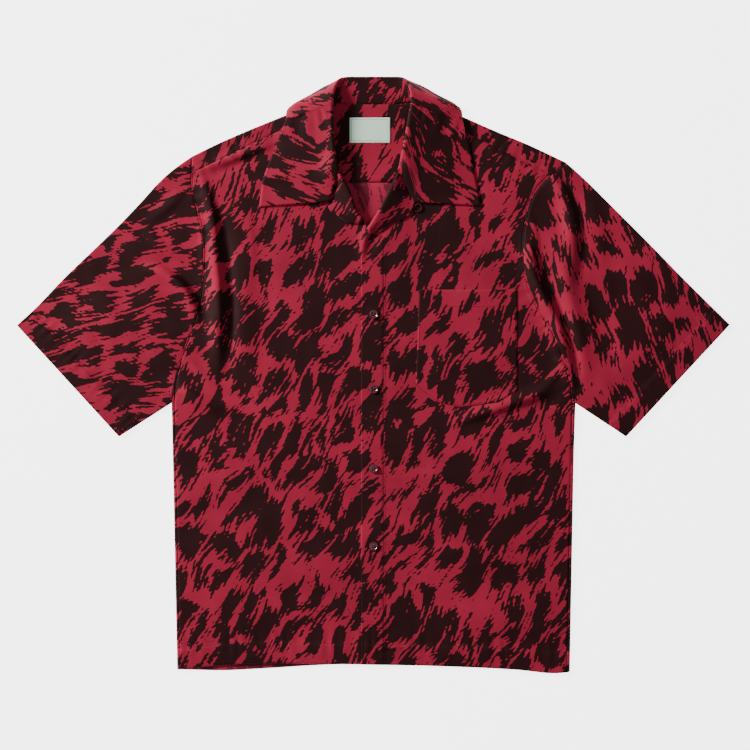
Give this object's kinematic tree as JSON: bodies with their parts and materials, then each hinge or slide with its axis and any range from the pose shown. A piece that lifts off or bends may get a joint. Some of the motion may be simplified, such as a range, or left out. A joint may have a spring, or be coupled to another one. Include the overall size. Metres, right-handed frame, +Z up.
{
  "type": "hawaiian shirt",
  "caption": "Short-sleeved camp-collar shirt of thin printed cloth, laid flat on its back with the placket closed and the collar and lapels open.",
  "frame": {"origin": "middle of the laid-out shirt's outline, on the surface that it lies on", "axes": "+X towards the wearer's left, +Y from the hem to the collar, +Z up off the surface"},
  "size_m": [0.947, 0.7921, 0.0197],
  "materials": {
    "printed_cloth": "matte plain weave, near-black print on crimson",
    "label_weave": "pale mint damask weave",
    "button_resin": "dark smoky resin, glossy",
    "loop_cord": "dark twisted cord"
  },
  "bodies": {
    "root": {"back_panel": "printed_cloth", "yoke": "printed_cloth", "yoke_facing": "printed_cloth", "front_right": "printed_cloth", "front_left": "printed_cloth", "sleeve_right": "printed_cloth", "sleeve_left": "printed_cloth", "collar": "printed_cloth", "lapel_right": "printed_cloth", "lapel_left": "printed_cloth", "chest_pocket": "printed_cloth", "neck_label": "label_weave", "button_1": "button_resin", "button_2": "button_resin", "button_3": "button_resin", "button_4": "button_resin", "button_loop": "loop_cord"}
  },
  "joints": []
}
